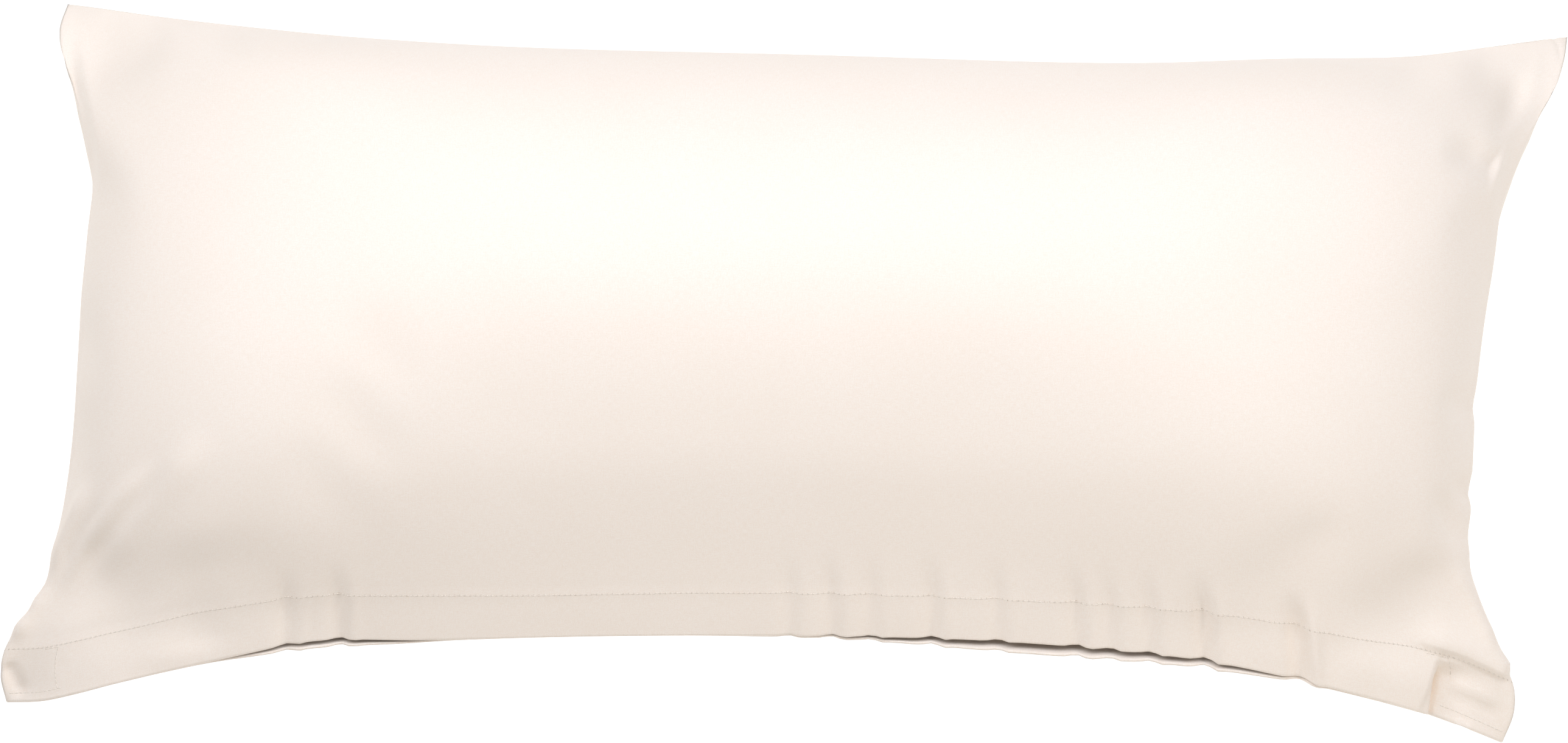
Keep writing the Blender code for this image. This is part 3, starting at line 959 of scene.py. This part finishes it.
FOLDS = (
    # The mouth's left ear: ridges that fan out from it up the side, and hollows between.
    Fold(Form.RIDGE, ((82, 952), (100, 903), (128, 836), (152, 784)), 3.6, 3.0),
    Fold(Form.RIDGE, ((98, 985), (134, 900), (206, 808), (262, 752)), 5.0, 3.0),
    Fold(Form.RIDGE, ((160, 960), (210, 868), (294, 768), (350, 705)), 9.0, 2.6),
    Fold(Form.TROUGH, ((98, 945), (140, 870), (176, 815)), 3.2, 1.2),
    Fold(Form.TROUGH, ((132, 950), (182, 880), (248, 800), (290, 755)), 5.0, 1.4),
    Fold(Form.TROUGH, ((300, 860), (308, 930), (322, 1010), (330, 1090)), 20.0, 3.0, 0.4, 0.2),
    Fold(Form.RIDGE, ((22, 1060), (40, 1005), (74, 960)), 4.5, 2.4),
    Fold(Form.TROUGH, ((9, 1088), (22, 1114), (38, 1144)), 4.0, 2.2, 0.2, 0.2),
    Fold(Form.TROUGH, ((88, 1094), (100, 1092), (114, 1094)), 1.2, 0.5),
    # The mouth's right ear.
    Fold(Form.RIDGE, ((2382, 915), (2402, 957), (2436, 1018), (2466, 1080)), 5.0, 3.0),
    Fold(Form.TROUGH, ((2392, 775), (2404, 800), (2416, 835)), 5.5, 3.0, 0.4, 0.4),
    Fold(Form.TROUGH, ((2364, 795), (2385, 850), (2412, 915)), 6.5, 3.4, 0.4, 0.4),
    Fold(Form.TROUGH, ((2376, 630), (2400, 660), (2420, 700)), 8.0, 2.6, 0.4, 0.4),
    Fold(Form.STEP, ((2478, 1118), (2440, 1098), (2400, 1078), (2360, 1066), (2300, 1050)),
         14.0, -4.0, 0.1, 0.4, 7.0),
    Fold(Form.RIDGE, ((2180, 1080), (2260, 1095), (2352, 1128)), 14.0, 3.0, 0.4, 0.05),
    # The band's end over the right corner's sewn patch.
    Fold(Form.STEP, ((2351, 1184), (2359, 1130), (2365, 1081)), 16.0, 6.0, 0.02, 0.30, 1.2),
    Fold(Form.TROUGH, ((2353, 1180), (2359, 1140), (2364, 1100)), 1.7, 5.0, 0.05, 0.25),
    Fold(Form.RIDGE, ((2378, 1122), (2420, 1136), (2468, 1158)), 2.6, 1.2),
    Fold(Form.TROUGH, ((2376, 1144), (2425, 1160), (2472, 1182)), 2.6, 1.2),
    # The top left ear: the front falls steeply to the seam.
    Fold(Form.STEP, ((122, 40), (127, 110), (137, 165), (150, 240), (154, 310), (146, 400)),
         30.0, 4.5, 0.25, 0.4, 9.0),
    # The top right ear: the same, with two dimples.
    Fold(Form.STEP, ((2455, 480), (2465, 380), (2468, 310), (2478, 252), (2516, 185),
                     (2536, 120), (2548, 60)), 40.0, 4.0, 0.3, 0.3, 12.0),
    Fold(Form.TROUGH, ((2360, 240), (2420, 252), (2470, 275)), 9.0, 5.0, 0.6, 0.1),
    Fold(Form.TROUGH, ((2500, 110), (2490, 180), (2462, 250)), 9.0, 4.0, 0.4, 0.3),
    Fold(Form.TROUGH, ((2546, 52), (2560, 73), (2566, 100)), 1.0, 0.6, 0.1, 0.2),
    # Ripples across the front hem: x, depth, top, bottom, lean and width.
    *(fold for ripple in (
        (470, 2.4, 985, 1066), (555, 2.6, 975, 1056, 4), (1296, 1.8, 957, 1045),
        (1363, 2.4, 958, 1046, 4), (1430, 1.8, 960, 1047), (1529, 2.6, 963, 1050, 3),
        (1636, 2.1, 968, 1055, 4), (1765, 2.8, 975, 1066, 5), (1820, 2.1, 980, 1073, 5),
        (1885, 2.4, 985, 1077, 5), (1975, 4.2, 997, 1088, 6, 5.0),
        (2128, 5.0, 1024, 1120, 10, 6.0)) for fold in hem_ripple(*ripple)),
)


# --- The case ---
class Panel(Enum):
    """One of the case's two panels."""

    FRONT = "front"
    BACK = "back"


def grid_normals(grid: Array) -> Array:
    """Unit normals of a grid of points, upwards where columns run to +X and rows to +Y."""
    normals = np.cross(np.gradient(grid, axis=0), np.gradient(grid, axis=1))
    return normals / np.maximum(length(normals, True), 1e-12)


class ClothMesh:
    """Collects grids of points and the quads between them, with their places on the cloth."""

    def __init__(self) -> None:
        """Start with no points."""
        self.points: list[Array] = []
        self.count = 0
        self.faces: list[tuple[int, ...]] = []
        self.flats: list[tuple[float, float]] = []

    def add_points(self, points: Array) -> Array:
        """Add points.

        Args:
            points: An array whose last axis is x, y and z.

        Returns:
            The new points' numbers, in the shape of the array's other axes.
        """
        shape = points.shape[:-1]
        ids = self.count + np.arange(int(np.prod(shape))).reshape(shape)
        self.points.append(points.reshape(-1, 3))
        self.count += ids.size
        return ids

    def add_quads(self, ids: Array, flat: Array) -> None:
        """Add the quads of a grid of point numbers, whose repeated corners are left out.

        Args:
            ids: Point numbers, columns by rows.
            flat: The points' places on the flat cloth, columns by rows by two.
        """
        spots = flat.tolist()
        for column in range(ids.shape[0] - 1):
            for row in range(ids.shape[1] - 1):
                seen: dict[int, tuple[float, float]] = {}
                for c, r in ((column, row), (column + 1, row),
                             (column + 1, row + 1), (column, row + 1)):
                    seen.setdefault(int(ids[c, r]), tuple(spots[c][r]))
                if len(seen) > 2:
                    self.faces.append(tuple(seen))
                    self.flats.extend(seen.values())

    def add_strip(self, first: Array, second: Array, flat: Array) -> None:
        """Add the quads between two rows of points that share their places on the cloth."""
        self.add_quads(np.stack((first, second), axis=1), np.stack((flat, flat), axis=1))

    def build(self, name: str) -> Object:
        """Make the object, its faces pointing out, with the flat cloth as its UV map."""
        piece = new_object(name, np.concatenate(self.points), self.faces)
        layer = piece.data.uv_layers.new(name="flat_cloth")
        layer.data.foreach_set("uv", np.array(self.flats, np.float32).ravel())
        select_only(piece)
        bpy.ops.object.mode_set(mode="EDIT")
        bpy.ops.mesh.select_all(action="SELECT")
        bpy.ops.mesh.normals_make_consistent(inside=False)
        bpy.ops.object.mode_set(mode="OBJECT")
        return piece


@dataclass
class FilledCase:
    """The case itself: one closed cloth body with its hems open along the mouth."""

    shape: CaseShape
    camera: PhotoCamera
    settling: ClothSettling
    finish: SatinFinish
    columns: tuple[Run, ...] = (Run(0.060, 44), Run(0.130, 32), Run(0.670, 150),
                                Run(0.735, 34), Run(0.800, 50))
    rows: tuple[Run, ...] = (Run(0.0012, 1), Run(0.026, 10), Run(0.034, 12),
                             Run(0.060, 11), Run(0.350, 76), Run(0.400, 22))
    mouth_rows: int = 26
    # Shares of the height between which the two panels stop settling as one.
    hems_part: tuple[float, float] = (0.09, 0.30)
    # The case is thin where its panels are closer than thin_to, and no longer at thin_from.
    thin_from: float = 0.020
    thin_to: float = 0.004
    # The slit's inside is whole where the slit has this share of its full height.
    gap_full: float = 0.25
    # No fold is deeper than this share of the room between the panels.
    deepest_share: float = 0.6

    def build(self) -> Object:
        """Returns:
            The finished object.
        """
        self.across = grid_lines(self.columns, self.shape.width)
        self.up = grid_lines(self.rows, self.shape.height)
        across, up = self.shape.spread(self.across, self.up)
        self.mouth = across[:, 0]
        front, back = self.shape.surfaces(across, up)
        moves = [resample(move, self.across, self.up)
                 for move in self.settling.settle(self.shape)]
        together = 0.5 * (moves[0] + moves[1])
        loose = ramp(self.up, *self.hems_part)[None, :, None]
        front = front + together + (moves[0] - together) * loose
        back = back + together + (moves[1] - together) * loose
        self._share_edges(front, back)
        front, back = self._folded(front, back)
        self._share_edges(front, back)
        back[..., 2] = np.maximum(back[..., 2], 0.0)
        self.grids = {Panel.FRONT: front, Panel.BACK: back}
        self.normals = {Panel.FRONT: grid_normals(front), Panel.BACK: -grid_normals(back)}
        piece = self._skin()
        piece.data.materials.append(self.finish.material())
        piece.data.shade_smooth()
        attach(piece, BODY)
        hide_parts(NODE)
        return piece

    def _share_edges(self, front: Array, back: Array) -> None:
        """Give the back the front's points along the side seams and the fold."""
        back[0], back[-1], back[:, -1] = front[0], front[-1], front[:, -1]

    def _folded(self, front: Array, back: Array) -> Pair:
        """Lay the folds into the front; where the case is thin, the back moves with it.

        Args:
            front: The front's points.
            back: The back's points.

        Returns:
            The front's and the back's points with their folds.
        """
        room = length(front - back)
        thin = 1.0 - ramp(room, self.thin_to, self.thin_from)
        pixel = self.camera.distance / self.camera.focal_pixels
        seen = self.camera.pixels(front.reshape(-1, 3))
        lift = sum(fold.lift(seen, pixel) for fold in FOLDS).reshape(room.shape)
        deepest = -(self.deepest_share * room + np.abs(lift) * thin)
        outward = grid_normals(front)
        return (front + np.maximum(lift, deepest)[..., None] * outward,
                back + (lift * thin)[..., None] * outward)

    def _skin(self) -> Object:
        """Join front, back, hems and the mouth's inside into one closed mesh."""
        front, back = self.grids[Panel.FRONT], self.grids[Panel.BACK]
        shape, across, up = self.shape, self.across, self.up
        flat_front = np.dstack(np.broadcast_arrays(across[:, None] * shape.width,
                                                   up[None] * shape.height))
        flat_back = flat_front * (1.0, -1.0) + (0.0, 2.0 * shape.height)
        front_ids, back_ids, own = sewn_ids(front.shape[:2])
        book = ClothMesh()
        book.add_points(front)
        book.add_points(back[own])
        book.add_quads(front_ids, flat_front)
        book.add_quads(back_ids, flat_back)
        opened = np.flatnonzero((self.mouth > shape.box_left) & (self.mouth < shape.box_right))
        wide = slice(int(opened[0]) - 1, int(opened[-1]) + 2)
        deep = slice(0, self.mouth_rows)
        share = share_of(shape.gap(self.mouth[wide]) / (self.gap_full * shape.mouth_gap))
        middle = 0.5 * (front + back)[wide, deep]
        outwards = front[:, 0] - front[:, 1]
        outwards /= length(outwards, True)
        rims, linings = [], []
        for panel in (Panel.FRONT, Panel.BACK):
            grid, normal = self.grids[panel], self.normals[panel]
            lining = (grid - shape.hem_thick * normal)[wide, deep]
            lining = middle + (lining - middle) * share[:, None, None]
            rim = 0.5 * (front[:, 0] + back[:, 0])
            rim[wide] = 0.5 * (grid[wide, 0] + lining[:, 0])
            thick = length(grid[:, 0] - rim, True)
            rims.append(rim + outwards * np.minimum(thick, 0.5 * shape.hem_thick))
            linings.append(lining)
        rim_ids = [book.add_points(rims[0])]
        rim_ids[0][0], rim_ids[0][-1] = front_ids[0, 0], front_ids[-1, 0]
        apart = np.zeros(len(across), bool)
        apart[wide] = share > 0.0
        rim_ids.append(rim_ids[0].copy())
        rim_ids[1][apart] = book.add_points(rims[1][apart])
        wall_ids = [book.add_points(linings[0])]
        closed = share <= 0.0
        wall_ids[0][closed, 0] = rim_ids[0][wide][closed]
        wall_ids.append(wall_ids[0].copy())
        wall_ids[1][~closed] = book.add_points(linings[1][~closed])
        for number, (ids, flat) in enumerate(((front_ids, flat_front), (back_ids, flat_back))):
            book.add_strip(ids[:, 0], rim_ids[number], flat[:, 0])
            book.add_strip(rim_ids[number][wide], wall_ids[number][:, 0], flat[wide, 0])
            book.add_quads(wall_ids[number], flat[wide, deep])
        root = flat_front[wide, self.mouth_rows - 1]
        book.add_strip(wall_ids[0][:, -1], wall_ids[1][:, -1], root)
        return book.build("satin_case")

    def spot(self, panel: Panel, along: float, deep: float) -> Pair:
        """A place of the finished surface.

        Args:
            panel: The panel that the place is on.
            along: Metres along the flat cloth's width.
            deep: Metres up from the hem's edge.

        Returns:
            The place and its outward normal.
        """
        found = []
        column = np.interp(along / self.shape.width, self.across, np.arange(len(self.across)))
        row = np.interp(deep / self.shape.height, self.up, np.arange(len(self.up)))
        c, r = int(min(column, len(self.across) - 2)), int(min(row, len(self.up) - 2))
        s, t = column - c, row - r
        for grid in (self.grids[panel], self.normals[panel]):
            low = grid[c, r] * (1 - s) + grid[c + 1, r] * s
            high = grid[c, r + 1] * (1 - s) + grid[c + 1, r + 1] * s
            found.append(low * (1 - t) + high * t)
        return found[0], found[1] / np.linalg.norm(found[1])


# --- Stitching ---
@dataclass(frozen=True)
class SeamLine:
    """A row of stitches along a path over the flat cloth, in metres from its left hem corner."""

    name: str
    panel: Panel
    path: tuple[tuple[float, float], ...]


@dataclass
class Stitching:
    """The visible lockstitch: the hems' rows and the sewn boxes at the mouth's ends."""

    case: FilledCase
    finish: ThreadFinish
    pitch: float = 0.0027
    length: float = 0.0022
    radius: float = 0.00022
    sunk: float = 0.00004
    arch: float = 0.00010

    def lines(self) -> list[SeamLine]:
        """The rows of stitches on both panels."""
        hem = self.case.shape.hem_line
        width = self.case.shape.width
        rows = (
            ("hem_stitches", (0.004, hem), (width - 0.004, hem)),
            ("left_box_stitches", (0.003, 0.0045), (0.036, 0.0050)),
            ("left_bar_stitches", (0.033, 0.0050), (0.031, hem)),
            ("right_box_stitches", (width - 0.040, 0.0050), (width - 0.003, 0.0045)),
            ("right_bar_stitches", (width - 0.036, 0.0200), (width - 0.037, hem)),
            ("left_back_tack", (0.023, hem - 0.0010), (0.031, hem - 0.0010)),
            ("right_back_tack", (width - 0.050, hem - 0.0016), (width - 0.037, hem - 0.0012)),
        )
        return [SeamLine(f"{panel.value}_{name}", panel, (start, end))
                for panel in Panel for name, start, end in rows]

    def build(self) -> list[Object]:
        points, faces = self._stitch()
        material = self.finish.material()
        made = []
        for line in self.lines():
            piece = self._row(line, points, faces)
            piece.data.materials.append(material)
            piece.data.shade_smooth()
            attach(piece, BODY)
            made.append(piece)
        return made

    def _stitch(self) -> tuple[Array, list[tuple[int, ...]]]:
        """Model one stitch, a short thread with rounded ends, and read it.

        Returns:
            Its points, lying along +X, and its faces as tuples of point numbers.
        """
        bpy.ops.object.select_all(action="DESELECT")
        bpy.ops.mesh.primitive_uv_sphere_add(segments=6, ring_count=5, radius=self.radius,
                                             rotation=(0.0, math.radians(90.0), 0.0))
        stitch = bpy.context.object
        bpy.ops.object.transform_apply(location=False, rotation=True, scale=False)
        points = coordinates(stitch.data)
        ends = np.sign(points[:, 0]) * (np.abs(points[:, 0]) > 1e-6)
        points[:, 0] += ends * (0.5 * self.length - self.radius)
        faces = [tuple(face.vertices) for face in stitch.data.polygons]
        bpy.data.objects.remove(stitch, do_unlink=True)
        return points, faces

    def _row(self, line: SeamLine, points: Array, faces: list) -> Object:
        """Lay copies of the stitch along a line of the case.

        Args:
            line: Where the row runs.
            points: One stitch's points.
            faces: One stitch's faces.

        Returns:
            The row as one mesh object.
        """
        path = np.array(line.path)
        ends = np.concatenate(([0.0], np.cumsum(length(np.diff(path, axis=0)))))
        begun = (math.floor(path[0, 0] / self.pitch) + 0.5) * self.pitch - path[0, 0]
        places = np.arange(max(begun, 0.5 * self.pitch), ends[-1], self.pitch)
        laid, joined = [], []
        for number, place in enumerate(places):
            before, after = (
                self.case.spot(line.panel, *(np.interp(at, ends, path[:, axis])
                                             for axis in (0, 1)))
                for at in (place - 0.5 * self.length, place + 0.5 * self.length))
            way = after[0] - before[0]
            way /= np.linalg.norm(way)
            up = before[1] + after[1]
            up -= way * (up @ way)
            up /= np.linalg.norm(up)
            frame_axes = np.stack((way, np.cross(up, way), up))
            raised = points.copy()
            share = 2.0 * points[:, 0] / self.length
            raised[:, 2] += self.arch * (1.0 - share**2) - self.sunk
            laid.append(0.5 * (before[0] + after[0]) + raised @ frame_axes)
            joined += [tuple(index + number * len(points) for index in face) for face in faces]
        return new_object(line.name, np.concatenate(laid), joined)


# --- The studio ---
@dataclass(frozen=True)
class SoftLight:
    """A large soft light that looks at a place."""

    name: str
    place: tuple[float, float, float]
    size: tuple[float, float]
    watts: float
    colour: str = "#FFFFFF"
    target: tuple[float, float, float] = (0.0, 0.0, 0.05)

    def build(self) -> Object:
        """Add the light, unseen by the camera."""
        data = bpy.data.lights.new(self.name, "AREA")
        data.shape = "RECTANGLE"
        data.size, data.size_y = self.size
        data.energy = self.watts
        data.color = linear(self.colour)[:3]
        light = look_from(self.name, data, self.place, Vector(self.target) - Vector(self.place))
        light.visible_camera = False
        return light


@dataclass(frozen=True)
class Studio:
    """A lit white floor, two strips over the case, a box at each side and a fill in front."""

    camera: PhotoCamera
    floor: FloorFinish
    ambient: float = 0.37
    floor_size: float = 30.0
    floor_height: float = -0.0005
    lights: tuple[SoftLight, ...] = (
        SoftLight("overhead_strip", (0.0, 0.55, 1.45), (2.6, 0.8), 14.8, "#F0F4FF"),
        SoftLight("near_strip", (0.0, 0.35, 0.9), (1.4, 0.4), 1.8, "#F0F4FF"),
        SoftLight("left_box", (-1.3, 0.4, 1.4), (0.8, 0.6), 5.0),
        SoftLight("right_box", (1.3, 0.4, 1.4), (0.8, 0.6), 3.4),
        SoftLight("front_fill", (0.5, -1.3, 0.6), (1.2, 0.5), 4.6, "#FFF8EE"),
    )

    def build(self) -> None:
        """Add the camera, the floor, the lights and the white surroundings."""
        self.camera.build()
        ground = add_plane(self.floor_size, self.floor_height)
        ground.name = "studio_floor"
        bpy.ops.object.transform_apply(location=True, rotation=True, scale=True)
        ground.data.materials.append(self.floor.material())
        for light in self.lights:
            light.build()
        world = bpy.data.worlds.new("white_surroundings")
        world.use_nodes = True
        nodes = Nodes(world.node_tree)
        sky = nodes.add("Background", {"Color": linear("#FFFFFF"), "Strength": self.ambient})
        nodes.add("OutputWorld", {"Surface": sky.outputs[0]})
        bpy.context.scene.world = world
        bpy.context.scene.view_settings.view_transform = "Standard"


def main() -> None:
    """Build the studio, the case and its stitching."""
    logging.basicConfig(level=logging.INFO, format="%(message)s")
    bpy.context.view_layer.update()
    camera = PhotoCamera()
    Studio(camera, FloorFinish()).build()
    case = FilledCase(CaseShape(), camera, ClothSettling(), SatinFinish())
    piece = case.build()
    log.info("%s: %d faces", piece.name, len(piece.data.polygons))
    for row in Stitching(case, ThreadFinish()).build():
        log.info("%s: %d faces", row.name, len(row.data.polygons))


if __name__ == "__main__":
    main()
